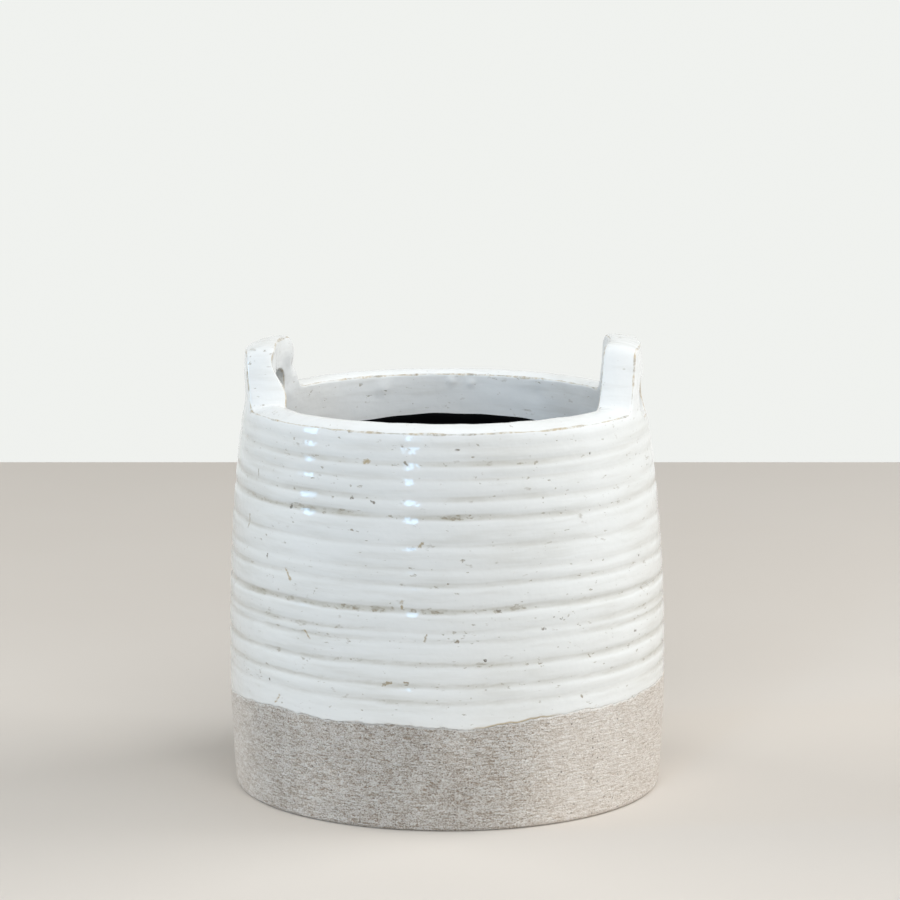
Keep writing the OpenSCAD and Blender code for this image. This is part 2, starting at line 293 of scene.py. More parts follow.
class WallForm:
    """The thrown wall: turns a way round, a depth into the wall and a height into a point."""

    def __init__(self):
        self.pot, self.lugs, self.coats = settings("pot", "lugs", "coats")
        self.rim_radius = self.pot.belly_radius - self.pot.rim_draw
        self.half_turn = math.pi * self.rim_radius
        self.root_height = self.pot.rim_height - self.lugs.root_depth

    def outer(self, height):
        """Outer radius of the plain wall at each height, and on up the lugs."""
        pot, lugs = self.pot, self.lugs
        low = pot.base_draw * (1 - height / pot.belly_height) ** 2
        rise = np.clip((height - pot.belly_height) / (pot.rim_height - pot.belly_height), 0, 1)
        lean = lugs.lean * np.maximum(height - pot.rim_height, 0) / lugs.height
        return (pot.belly_radius - lean
                - np.where(height < pot.belly_height, low, pot.rim_draw * rise ** SHOULDER_POWER))

    def along(self, sideways):
        """Way round the outer face of points that far to the side of a lug's middle."""
        return self.rim_radius * np.arcsin(sideways / self.rim_radius)

    def inner_angle(self, turn):
        """Angle on the inner face that lies across the wall from an angle on the outer face."""
        bore = self.rim_radius - self.pot.wall
        lug = np.round(turn / math.pi) * math.pi
        off = turn - lug
        edge = math.asin(self.lugs.root_half / self.rim_radius)
        inner_edge = math.asin(self.lugs.root_half / bore)
        within = np.arcsin(np.clip(self.rim_radius * np.sin(off) / bore, -1, 1))
        beyond = (inner_edge
                  + (np.abs(off) - edge) * (math.pi / 2 - inner_edge) / (math.pi / 2 - edge))
        return lug + np.where(np.abs(off) <= edge + 1e-9, within, np.sign(off) * beyond)

    def point(self, along, across, height):
        """Points in the row frame, as an array with one row each."""
        turn = along / self.rim_radius
        turn = turn + (self.inner_angle(turn) - turn) * across / self.pot.wall
        radius = self.outer(height) - across
        for mark_turn, mark_height, reach, shift in THUMB_MARKS:
            off = turn_gap(turn, mark_turn)
            far = (off * (self.rim_radius - self.pot.wall)) ** 2 + (height - mark_height) ** 2
            radius = radius - shift * np.exp(-far / reach ** 2) * across / self.pot.wall
        return np.stack([radius * np.cos(turn), radius * np.sin(turn), height], -1)

    def glaze_edge(self, along):
        """Height of the glaze's lower edge, tilted and waved as a dipped edge is."""
        turn = along / self.rim_radius
        waves = sum(size * np.sin(count * turn + start) for count, start, size in EDGE_WAVES)
        height = (self.coats.glaze_line + self.coats.glaze_tilt * np.cos(turn)
                  + self.coats.glaze_waves * waves)
        for mark_turn, reach, rise in EDGE_SWELLS:
            off = turn_gap(turn, math.radians(mark_turn))
            height = height + rise * np.exp(-(off / math.radians(reach)) ** 2)
        return height

    def lining_edge(self, turn):
        """Height of the lining's brushed upper edge."""
        waves = (np.cos(3 * (turn - math.pi / 2)) - 1 + 0.12 * np.sin(11 * turn + 1.0)
                 + 0.08 * np.sin(23 * turn + 0.4))
        return self.coats.lining_top + self.coats.lining_waves * waves

    def lip(self, rise, turn, set_in):
        """Depth and height of the lip's rows for each rise, from the outer to the inner face."""
        wall, arris = self.pot.wall, self.pot.arris
        rise, turn = np.asarray(rise, float)[None, :], np.asarray(turn, float)[None, :]
        steep = rise * turn / wall
        outer_end = math.pi / 2 - np.arctan(steep)
        inner_start = math.pi / 2 - np.arctan(steep * np.cos(turn))
        small = arris - set_in
        step = np.linspace(0, 1, EDGE_STEPS + 1)[:, None]
        first = step * outer_end
        dome = np.linspace(0, 1, LIP_STEPS + 1)[1:-1, None]
        last = inner_start + step * (math.pi - inner_start)
        start_depth = arris * (1 - np.cos(outer_end))
        start_height = arris * (np.sin(outer_end) - 1)
        end_depth = wall - arris * (1 + np.cos(inner_start))
        inner_height = start_height + rise * np.sin(turn) - arris * np.sin(inner_start)
        across = np.concatenate([
            arris - small * np.cos(first),
            start_depth + dome * (end_depth - start_depth),
            wall - arris - small * np.cos(last)])
        height = np.concatenate([
            small * np.sin(first) - arris,
            start_height + rise * np.sin(turn * dome) - set_in,
            inner_height + small * np.sin(last)])
        return across, height

    def half_path(self, foot_half, top_half, tall, crown, step):
        """Half of a lug's path, from the rim to the middle: place, height, facing, rise, turn."""
        pot, lugs = self.pot, self.lugs
        top = pot.rim_height + tall
        slant = math.atan((foot_half - top_half) / tall)
        reach = math.tan((math.pi / 2 - slant) / 2)
        bend = np.linspace(math.pi / 2, slant, BEND_STEPS)
        side = np.concatenate([
            [lugs.root_half], foot_half + lugs.fillet * (reach - np.cos(bend)),
            top_half - lugs.corner * (reach - np.cos(bend[::-1])), [0]])
        height = np.concatenate([
            [pot.rim_height], pot.rim_height + lugs.fillet * (1 - np.sin(bend)),
            top - lugs.corner * (1 - np.sin(bend[::-1])), [top]])
        facing = np.concatenate([[math.pi / 2], bend, bend[::-1], [math.pi / 2]])
        way = np.concatenate([[0], np.cumsum(np.hypot(np.diff(side), np.diff(height)))])
        knots = way[[0, 1, BEND_STEPS, BEND_STEPS + 1, 2 * BEND_STEPS, -1]]
        rises = [pot.lip_rise, pot.lip_rise, lugs.side_rise, lugs.side_rise,
                 CORNER_CROWN * crown, crown]
        turns = [LIP_TURN] * 4 + [CROWN_TURN] * 2
        even = np.linspace(0, way[-1], round(way[-1] / step) + 1)
        rise, turn = np.interp(even, knots, rises), np.interp(even, knots, turns)
        for _ in range(3):
            rise[1:-1] = (rise[:-2] + 2 * rise[1:-1] + rise[2:]) / 4
        return np.stack([np.interp(even, way, values) for values in (side, height, facing)]
                        + [rise, turn])

    def lug_path(self, left, step):
        """The rim's line as it climbs over a lug, from the lower to the higher way round."""
        lugs = self.lugs
        top = (lugs.height_left, lugs.crown_left) if left else (lugs.height, lugs.crown)
        front = self.half_path(lugs.foot_front, lugs.top_front, *top, step)
        back = self.half_path(lugs.foot_back, lugs.top_back, *top, step)
        first, last = (back, front) if left else (front, back)
        first = first.copy()
        first[0] *= -1
        first[2] = math.pi - first[2]
        return np.concatenate([first[:, :-1], last[:, ::-1]], 1)

    def slot_loop(self, widen, step):
        """Outline of the finger slot, widened all round by each of the depths given."""
        lugs = self.lugs
        radius = lugs.slot_height / 2
        reach = lugs.slot_half - radius
        arc_steps = max(6, round(math.pi * radius / step))
        flat_steps = max(4, round(2 * reach / step))
        turn = np.concatenate([
            np.linspace(-math.pi / 2, math.pi / 2, arc_steps + 1)[:-1],
            np.full(flat_steps, math.pi / 2),
            np.linspace(math.pi / 2, 3 * math.pi / 2, arc_steps + 1)[:-1],
            np.full(flat_steps + 1, -math.pi / 2)])
        middle = np.concatenate([
            np.full(arc_steps, reach), np.linspace(reach, -reach, flat_steps + 1)[:-1],
            np.full(arc_steps, -reach), np.linspace(-reach, reach, flat_steps + 1)])
        widen = np.asarray(widen, float)[:, None]
        side = middle + (radius + widen) * np.cos(turn)
        height = self.pot.rim_height + lugs.slot_rise + (radius + widen) * np.sin(turn)
        return side, height


def inside(points, loop):
    """Which points lie inside a closed loop."""
    x, y = points[:, :1], points[:, 1:]
    x0, y0 = loop[None, :, 0], loop[None, :, 1]
    x1, y1 = np.roll(x0, -1, 1), np.roll(y0, -1, 1)
    crossed = (y0 > y) != (y1 > y)
    reach = x0 + (y - y0) * (x1 - x0) / np.where(y1 == y0, 1.0, y1 - y0)
    return (crossed & (x < reach)).sum(1) % 2 == 1


def grid_faces(first, rows, columns):
    """Faces of a patch of numbered points, row by row from the first one."""
    index = first + np.arange(rows * columns).reshape(rows, columns)
    quads = np.stack([index[:-1, :-1], index[:-1, 1:], index[1:, 1:], index[1:, :-1]], -1)
    return quads.reshape(-1, 4).tolist()


def weld(mesh):
    """Welds a mesh's patches to one smooth closed surface with its faces outwards."""
    built = bmesh.new()
    built.from_mesh(mesh)
    bmesh.ops.remove_doubles(built, verts=built.verts, dist=WELD)
    bmesh.ops.recalc_face_normals(built, faces=built.faces)
    if built.calc_volume(signed=True) < 0:
        bmesh.ops.reverse_faces(built, faces=built.faces)
    loose = [edge for edge in built.edges if len(edge.link_faces) != 2]
    if loose:
        raise RuntimeError(f"{mesh.name}: {len(loose)} edges aren't shared by two faces")
    for face in built.faces:
        face.smooth = True
    built.to_mesh(mesh)
    built.free()


class Shell:
    """Collects patches of the wall and welds them to one closed mesh."""

    def __init__(self, form):
        self.form = form
        self.parts, self.faces, self.arrises = [], [], []
        self.count = 0

    def keep(self, along, across, height):
        """Adds points in wall coordinates and gives the first one's number."""
        first = self.count
        self.parts.append(np.stack([along.ravel(), across.ravel(), height.ravel()], 1))
        self.count += along.size
        return first

    def grid(self, along, across, height):
        """Adds a patch of rows by columns."""
        along, across, height = np.broadcast_arrays(along, across, height)
        self.faces.extend(grid_faces(self.keep(along, across, height), *along.shape))

    def join(self, coarse, fine):
        """Joins a row of points to one with twice as many, each as (along, across, height)."""
        coarse, fine = [np.stack(np.broadcast_arrays(*row)) for row in (coarse, fine)]
        a, b = self.keep(*coarse), self.keep(*fine)
        self.faces.extend([a + i, a + i + 1, b + 2 * i + 2, b + 2 * i + 1, b + 2 * i]
                          for i in range(coarse.shape[1] - 1))

    def sheet(self, outline, hole, across, step, offset):
        """Adds a patch of triangles within an outline and round a hole, both as (along, height)."""
        row_step, clear = 0.87 * step, 0.7 * step
        rows = np.arange(outline[:, 1].min(), outline[:, 1].max(), row_step)
        columns = np.arange(outline[:, 0].min(), outline[:, 0].max(), step)
        lattice = np.array([(a + (step / 2 if i % 2 else 0), h) for i, h in enumerate(rows)
                            for a in columns])
        lattice = lattice[inside(lattice, outline) & ~inside(lattice, hole)]
        bound = np.concatenate([outline, hole])
        gap = np.hypot(lattice[:, :1] - bound[:, 0], lattice[:, 1:] - bound[:, 1]).min(1)
        lattice = lattice[gap > clear]
        points = np.concatenate([bound, lattice])
        edges = [(i, (i + 1) % len(outline)) for i in range(len(outline))]
        edges += [(len(outline) + i, len(outline) + (i + 1) % len(hole)) for i in range(len(hole))]
        made, _, faces, *_ = delaunay_2d_cdt([Vector(p) for p in points], edges, [], 1, 1e-7)
        made, faces = np.array(made), np.array(faces)
        middles = made[faces].mean(1)
        faces = faces[inside(middles, outline) & ~inside(middles, hole)]
        first = self.keep(made[:, 0] + offset, np.full(len(made), across), made[:, 1])
        self.faces.extend((faces + first).tolist())

    def mesh(self, name):
        """The welded mesh, its faces outwards, with the weights that the hand marks read."""
        form = self.form
        along, across, height = np.concatenate(self.parts).T
        glaze, wall, rim = form.coats.glaze, form.pot.wall, form.pot.rim_height
        below_rim = np.clip((rim - form.pot.arris - height) / RIM_FADE, 0, 1)
        weights = {
            "outer_face": np.clip(1 - across / glaze, 0, 1) * below_rim,
            "inner_face": np.clip((across - wall + glaze) / glaze, 0, 1) * below_rim,
            "bare": np.clip((form.glaze_edge(along) - height) / EDGE_FADE, 0, 1)
                    * (across < 0.5 * glaze),
            "above_edge": height - form.glaze_edge(along),
        }
        mesh = bpy.data.meshes.new(name)
        mesh.from_pydata(form.point(along, across, height), [], self.faces)
        for key, values in weights.items():
            mesh.attributes.new(key, "FLOAT", "POINT").data.foreach_set("value", values)
        weld(mesh)
        if self.arrises:
            add_edge_gap(mesh, np.concatenate(self.arrises))
        return mesh


def add_edge_gap(mesh, arrises):
    """Stores on each point how far it is from the nearest sharp edge of the glazed form."""
    tree = kdtree.KDTree(len(arrises))
    for i, point in enumerate(arrises):
        tree.insert(point, i)
    tree.balance()
    gaps = [tree.find(vertex.co)[2] for vertex in mesh.vertices]
    mesh.attributes.new("edge_gap", "FLOAT", "POINT").data.foreach_set("value", gaps)


def steps(low, high, step):
    """Even steps from one value to another."""
    return np.linspace(low, high, max(2, round(abs(high - low) / step) + 1))


def ring_columns(form, step):
    """Columns of the plain arcs between the lugs, of a lug's root, and of the whole ring."""
    edge = float(form.along(form.lugs.root_half))
    plain = steps(edge, form.half_turn - edge, step)
    root = steps(-edge, edge, step)
    whole = np.concatenate([root, plain[1:], (root + form.half_turn)[1:],
                            (plain + form.half_turn)[1:]])
    return plain, root, whole


def add_skin(shell, set_in, low, low_rows, step):
    """Adds one face of the wall: up outside, over the rim and both lugs, and down inside."""
    form = shell.form
    pot, coats = form.pot, form.coats
    plain, root, whole = ring_columns(form, step)
    part = np.linspace(0, 1, low_rows)[:, None]
    start = low(whole)
    shell.grid(whole, set_in, start + part * (form.root_height - start))
    far = pot.wall - set_in
    inner = steps(form.root_height, coats.inner_low, 2 * step)
    shell.grid(whole, far, inner[:, None])

    depth, lift = [v[:, 0] for v in form.lip([pot.lip_rise], [LIP_TURN], set_in)]
    outer_rows = steps(form.root_height, pot.rim_height + lift[0], step)
    inner_rows = steps(pot.rim_height + lift[-1], form.root_height, step)
    across = np.concatenate([np.full(len(outer_rows) - 1, set_in), depth,
                             np.full(len(inner_rows) - 1, far)])[:, None]
    height = np.concatenate([outer_rows[:-1], pot.rim_height + lift, inner_rows[1:]])[:, None]
    slot_edge = form.lugs.slot_edge
    bevel = slot_edge - set_in
    bend = np.linspace(0, math.pi / 2, EDGE_STEPS + 1)
    through = np.linspace(slot_edge, pot.wall - slot_edge, SLOT_STEPS)
    slot_depth = np.concatenate([slot_edge - bevel * np.cos(bend), through[1:-1],
                                 (pot.wall - slot_edge + bevel * np.cos(bend))[::-1]])
    rounded = slot_edge - bevel * np.sin(bend)
    widen = np.concatenate([rounded, np.full(SLOT_STEPS - 2, set_in), rounded[::-1]])
    slot_side, slot_height = form.slot_loop(widen, step)
    slot_along = form.along(slot_side)
    for offset in (0, form.half_turn):
        side, up, facing, rise, turn = form.lug_path(offset > 0, step)
        over, climb = form.lip(rise, turn, set_in)
        lip_side = side + climb * np.cos(facing)
        lip_height = up + climb * np.sin(facing)
        lip_along = form.along(lip_side)
        shell.grid(plain + offset, across, height)
        shell.grid(lip_along + offset, over, lip_height)
        shell.grid(slot_along + offset, slot_depth[:, None], slot_height)
        for row, rows, level in ((0, outer_rows, set_in), (-1, inner_rows[::-1], far)):
            ends = [np.stack([np.full(len(rows) - 2, end), rows[1:-1]], 1) for end in root[[0, -1]]]
            outline = np.concatenate([
                np.stack([root, np.full(len(root), form.root_height)], 1), ends[1],
                np.stack([lip_along[row], lip_height[row]], 1)[::-1], ends[0][::-1]])
            hole = np.stack([slot_along[row], slot_height[row]], 1)[:-1]
            shell.sheet(outline, hole, level, step, offset)
        if set_in == 0:
            middle = EDGE_STEPS // 2
            both = middle, -1 - middle
            plain_rows = len(outer_rows) - 1 + middle, len(across) - len(inner_rows) - middle
            lines = [(lip_along[row], over[row], lip_height[row]) for row in both]
            lines += [(slot_along[row], slot_depth[row], slot_height[row]) for row in both]
            lines += [(plain, across[row], height[row]) for row in plain_rows]
            for line, deep, level in lines:
                deep, level = deep + 0 * line, level + 0 * line
                shell.arrises.append(form.point(line + offset, deep, level))


class Value:
    """What a node puts out, ready for sums with numbers and with what other nodes put out."""

    def __init__(self, graph, socket):
        self.graph, self.socket = graph, socket

    def __add__(self, other):
        return self.graph.math("ADD", self, other)

    def __sub__(self, other):
        return self.graph.math("SUBTRACT", self, other)

    def __rsub__(self, other):
        return self.graph.math("SUBTRACT", other, self)

    def __mul__(self, other):
        return self.graph.math("MULTIPLY", self, other)

    def __truediv__(self, other):
        return self.graph.math("DIVIDE", self, other)


class Graph:
    """Adds nodes to a tree and feeds their inputs with values or with other nodes' outputs."""

    def __init__(self, tree):
        self.tree = tree

    def feed(self, node, key, value):
        """Gives a node's input a plain value or what another node puts out."""
        if isinstance(value, Value):
            self.tree.links.new(value.socket, node.inputs[key])
        else:
            node.inputs[key].default_value = value

    def add(self, kind, inputs=None, **values):
        """A new node, its settings from values and its inputs from a dict of names or numbers."""
        node = self.tree.nodes.new(kind)
        for key, value in values.items():
            setattr(node, key, value)
        for key, value in (inputs or {}).items():
            self.feed(node, key, value)
        return node

    def out(self, kind, inputs=None, key=0, **values):
        """What a new node puts out."""
        return Value(self, self.add(kind, inputs, **values).outputs[key])

    def split(self, kind, whole):
        """The three parts of a vector or a colour."""
        return [Value(self, socket) for socket in self.add(kind, {0: whole}).outputs]

    def math(self, operation, a, b=0.0):
        """A number from two numbers, or a vector where either of them is one."""
        if any(isinstance(value, Value) and value.socket.type != "VALUE" for value in (a, b)):
            a, b = [(value,) * 3 if isinstance(value, float) else value for value in (a, b)]
            return self.out("ShaderNodeVectorMath", {0: a, 1: b}, operation=operation)
        return self.out("ShaderNodeMath", {0: a, 1: b}, operation=operation)

    def dot(self, a, b):
        """The dot product of two vectors."""
        return self.out("ShaderNodeVectorMath", {0: a, 1: b}, "Value", operation="DOT_PRODUCT")

    def remap(self, value, low, high, to_low=0.0, to_high=1.0):
        """A value carried smoothly from one range to another, and held at its ends."""
        return self.out("ShaderNodeMapRange", {0: value, 1: low, 2: high, 3: to_low, 4: to_high},
                        interpolation_type="SMOOTHSTEP")

    def noise(self, vector, scale, detail=2.0, rough=0.5, seed=0.0):
        """Noise from 0 to 1."""
        return self.out("ShaderNodeTexNoise",
                        {"Vector": vector, "W": seed, "Scale": scale, "Detail": detail,
                         "Roughness": rough}, noise_dimensions="4D")

    def blend(self, amount, a, b):
        """A colour between two others."""
        a, b = [value if isinstance(value, Value) else (*value, 1.0) for value in (a, b)]
        return self.out("ShaderNodeMix", {0: amount, 6: a, 7: b}, 2, data_type="RGBA")


def new_group(name, kind, inputs, outputs):
    """An empty node group with its sockets, and a graph, inputs and output node for it."""
    tree = bpy.data.node_groups.new(name, kind)
    for side, sockets in (("INPUT", inputs), ("OUTPUT", outputs)):
        for label, socket_type, default in sockets:
            socket = tree.interface.new_socket(name=label, in_out=side, socket_type=socket_type)
            if default is not None:
                socket.default_value = default
    graph = Graph(tree)
    given = graph.add("NodeGroupInput").outputs
    given = {label: Value(graph, given[label]) for label, *_ in inputs}
    return tree, graph, given, graph.add("NodeGroupOutput")


FLOAT, VECTOR, GEOMETRY = "NodeSocketFloat", "NodeSocketVector", "NodeSocketGeometry"


def flattened(place, amount):
    """Coordinates in which a mark is that many times as long round the pot as it is high."""
    return place * (1.0, 1.0, amount)


def hand_marks():
    """The tree that gives a turned form its throwing rings, wobble, lean, finger marks and grit."""
    if "hand_marks" in bpy.data.node_groups:
        return bpy.data.node_groups["hand_marks"]
    pot, hand = settings("pot", "hand")
    sizes = {key.replace("_", " ").capitalize(): getattr(hand, key) for key in (
        "ring_depth", "wander", "wobble", "lean", "rim_tilt", "rim_wave", "dents", "ripple",
        "grit")}
    sizes.update({"Rim height": pot.rim_height, "Seed": float(hand.seed)})
    tree, graph, given, end = new_group(
        "hand_marks", "GeometryNodeTree",
        [("Geometry", GEOMETRY, None), ("Material", "NodeSocketMaterial", None),
         *((label, FLOAT, size) for label, size in sizes.items())],
        [("Geometry", GEOMETRY, None)])
    tree.is_modifier = True
    position = graph.out("GeometryNodeInputPosition")
    x, y, z = graph.split("ShaderNodeSeparateXYZ", position)
    flat = graph.out("ShaderNodeCombineXYZ", {0: x, 1: y})
    outward = graph.math("NORMALIZE", flat)
    outer_face, inner_face, bare = [
        graph.out("GeometryNodeInputNamedAttribute", {"Name": name}, data_type="FLOAT")
        for name in ("outer_face", "inner_face", "bare")]

    def swing(vector, scale, detail, size, shift):
        """Noise from minus to plus a size."""
        return (graph.noise(vector, scale, detail, 0.5, given["Seed"] + shift) - 0.5) * (size * 2.0)

    long_way = flattened(position, 1.6)
    level = (z + swing(long_way, 9.0, 2.0, given["Wander"] * 2.0, 0.0)) / given["Rim height"]
    curve = graph.add("ShaderNodeFloatCurve", {"Value": level})
    shape_rings(curve, pot.rim_height)
    uneven = graph.noise(long_way, 14.0, 1.0, 0.5, given["Seed"] + 3.0)
    uneven = graph.remap(uneven, 0.3, 0.7, 0.55, 1.15)
    groove = (1.0 - Value(graph, curve.outputs[0])) * uneven * outer_face
    fine = swing(flattened(position, 6.0), 24.0, 1.0, 0.10 * MM, 5.0) * outer_face
    rings = fine - groove * given["Ring depth"] + outer_face * (given["Ring depth"] * RIDGE_SHARE)
    fingers = swing(flattened(position, 5.0), 28.0, 2.0, given["Ripple"], 11.0) * inner_face
    grains = swing(flattened(position, 2.2), 330.0, 3.0, given["Grit"], 17.0) * bare
    wobble = swing(flattened(position, 0.5), 7.0, 1.0, given["Wobble"], 23.0)

    rim_share = graph.math("MAXIMUM", z / given["Rim height"], 0.0)
    lean = graph.math("POWER", rim_share, LEAN_POWER) * given["Lean"]
    wave = swing(flat, 26.0, 2.0, given["Rim wave"], 31.0)
    tilt = graph.split("ShaderNodeSeparateXYZ", outward)[1] * given["Rim tilt"]
    shift = graph.out("ShaderNodeCombineXYZ",
                      {0: lean * -1.0, 2: (wave - tilt) * graph.remap(z, 0.14, 0.19)})
    dent = graph.out("ShaderNodeTexNoise",
                     {"Vector": position, "W": given["Seed"], "Scale": 95.0, "Detail": 2.0},
                     "Color", noise_dimensions="4D") - 0.5
    dent = dent * (given["Dents"] * 2.0 * graph.remap(z, 0.182, 0.190))
    offset = outward * (rings + fingers + (grains + wobble)) + (shift + dent)
    moved = graph.out("GeometryNodeSetPosition", {"Geometry": given["Geometry"], "Offset": offset})
    stored = graph.out("GeometryNodeStoreNamedAttribute",
                       {"Geometry": moved, "Name": "groove", "Value": groove},
                       data_type="FLOAT", domain="POINT")
    real = graph.out("GeometryNodeRealizeInstances", {0: stored})
    graph.feed(end, 0, graph.out("GeometryNodeSetMaterial",
                                 {"Geometry": real, "Material": given["Material"]}))
    return tree


def shape_rings(node, rim_height):
    """Sets a float curve to the wall's ridges and grooves, 1 on a ridge and less in a groove."""
    places = [(0.0, 1.0)]
    for i, (height, depth) in enumerate(GROOVES):
        following = GROOVES[i + 1][0] if i + 1 < len(GROOVES) else rim_height
        places += [(height - GROOVE_HALF, 1 - GROOVE_SHOULDER * depth), (height, 1 - depth),
                   (height + GROOVE_HALF, 1 - GROOVE_SHOULDER * depth)]
        if following - height > 3 * GROOVE_HALF:
            places.append(((height + following) / 2, 1.0))
    places.append((rim_height, 1.0))
    places = sorted((h / rim_height, v) for h, v in places)
    curve = node.mapping.curves[0]
    while len(curve.points) < len(places):
        curve.points.new(0.5, 0.5)
    for point, place in zip(curve.points, places):
        point.location = place
        point.handle_type = "AUTO_CLAMPED"
    node.mapping.update()


def finish_form(name, mesh, material, replaced):
    """Makes a piece of a mesh: runs the hand marks on it and seats it on the frame."""
    piece = bpy.data.objects.new(name, mesh)
    bpy.context.scene.collection.objects.link(piece)
    modifier = piece.modifiers.new("hand_marks", "NODES")
    modifier.node_group = hand_marks()
    for item in modifier.node_group.interface.items_tree:
        if item.in_out == "INPUT" and item.name == "Material":
            modifier[item.identifier] = material
    shaped = piece.evaluated_get(bpy.context.evaluated_depsgraph_get())
    made = bpy.data.meshes.new_from_object(shaped)
    piece.modifiers.clear()
    piece.data = made
    bpy.data.meshes.remove(mesh)
    made.name = name
    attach(piece, "root")
    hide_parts(*replaced)


def speck_group():
    """Scattered specks: a mask from cells, of which only a share holds a speck."""
    if "specks" in bpy.data.node_groups:
        return bpy.data.node_groups["specks"]
    tree, graph, given, end = new_group(
        "specks", "ShaderNodeTree",
        [("Vector", VECTOR, None), ("Scale", FLOAT, 200.0), ("Size", FLOAT, 0.2),
         ("Share", FLOAT, 0.3), ("Ragged", FLOAT, 0.15)],
        [("Mask", FLOAT, None)])
    vector, scale = given["Vector"], given["Scale"]
    rough = (graph.noise(vector, scale * 3.0, 2.0) - 0.5) * given["Ragged"]
    cells = graph.add("ShaderNodeTexVoronoi", {"Vector": vector, "Scale": scale}).outputs
    red, green, _ = graph.split("ShaderNodeSeparateColor", Value(graph, cells["Color"]))
    size = given["Size"] * graph.remap(green, 0.0, 1.0, 0.35, 1.0)
    gap = (Value(graph, cells["Distance"]) + rough) / size
    chosen = graph.math("LESS_THAN", red, given["Share"])
    graph.feed(end, 0, graph.remap(gap, 0.75, 1.15, 1.0, 0.0) * chosen)
    return tree


def mark_group():
    """One larger mark: a mask that is 1 on the line between two points and ragged at its sides."""
    tree, graph, given, end = new_group(
        "glaze_mark", "ShaderNodeTree",
        [("Vector", VECTOR, None), ("Start", VECTOR, None), ("End", VECTOR, None),
         ("Half width", FLOAT, 0.4 * MM), ("Rough", FLOAT, 0.5)], [("Mask", FLOAT, None)])
    line, reach = given["End"] - given["Start"], given["Vector"] - given["Start"]
    part = graph.out("ShaderNodeClamp", {0: graph.dot(reach, line) / graph.dot(line, line)})
    gap = graph.out("ShaderNodeVectorMath", {0: reach, 1: line * part}, "Value",
                    operation="DISTANCE")
    gap = (given["Rough"] - 0.5) * 2.6 + gap / given["Half width"]
    graph.feed(end, 0, graph.remap(gap, 0.3, 1.4, 1.0, 0.0))
    return tree


def new_material(name):
    """A material with its graph, its Principled shader and Object coordinates."""
    material = bpy.data.materials.new(name)
    material.use_nodes = True
    graph = Graph(material.node_tree)
    place = graph.out("ShaderNodeTexCoord", key="Object")
    return material, graph, material.node_tree.nodes["Principled BSDF"], place


def finish_surface(graph, shader, base, rough, height):
    """Feeds a shader its colour, its roughness and a bump in real heights."""
    bump = graph.out("ShaderNodeBump", {"Height": height, "Strength": 1.0, "Distance": 1.0})
    for key, value in (("Base Color", base), ("Roughness", rough), ("Normal", bump)):
        graph.feed(shader, key, value)


def specks(graph, vector, scale, size, amount, ragged=0.15):
    """The speck group placed in a material."""
    sizes = {"Vector": vector, "Scale": scale, "Size": size, "Share": amount, "Ragged": ragged}
    return graph.out("ShaderNodeGroup", sizes, node_tree=speck_group())


def attribute(graph, name):
    """A value stored on the surface."""
    return graph.out("ShaderNodeAttribute", key="Fac", attribute_name=name)


def side_mask(graph, place, way, low, high, to_low=0.0):
    """A mask of the side of the pot that faces a way, from how squarely each place faces it."""
    around = graph.math("NORMALIZE", place * (1.0, 1.0, 0.0))
    return graph.remap(graph.dot(around, way), low, high, to_low)


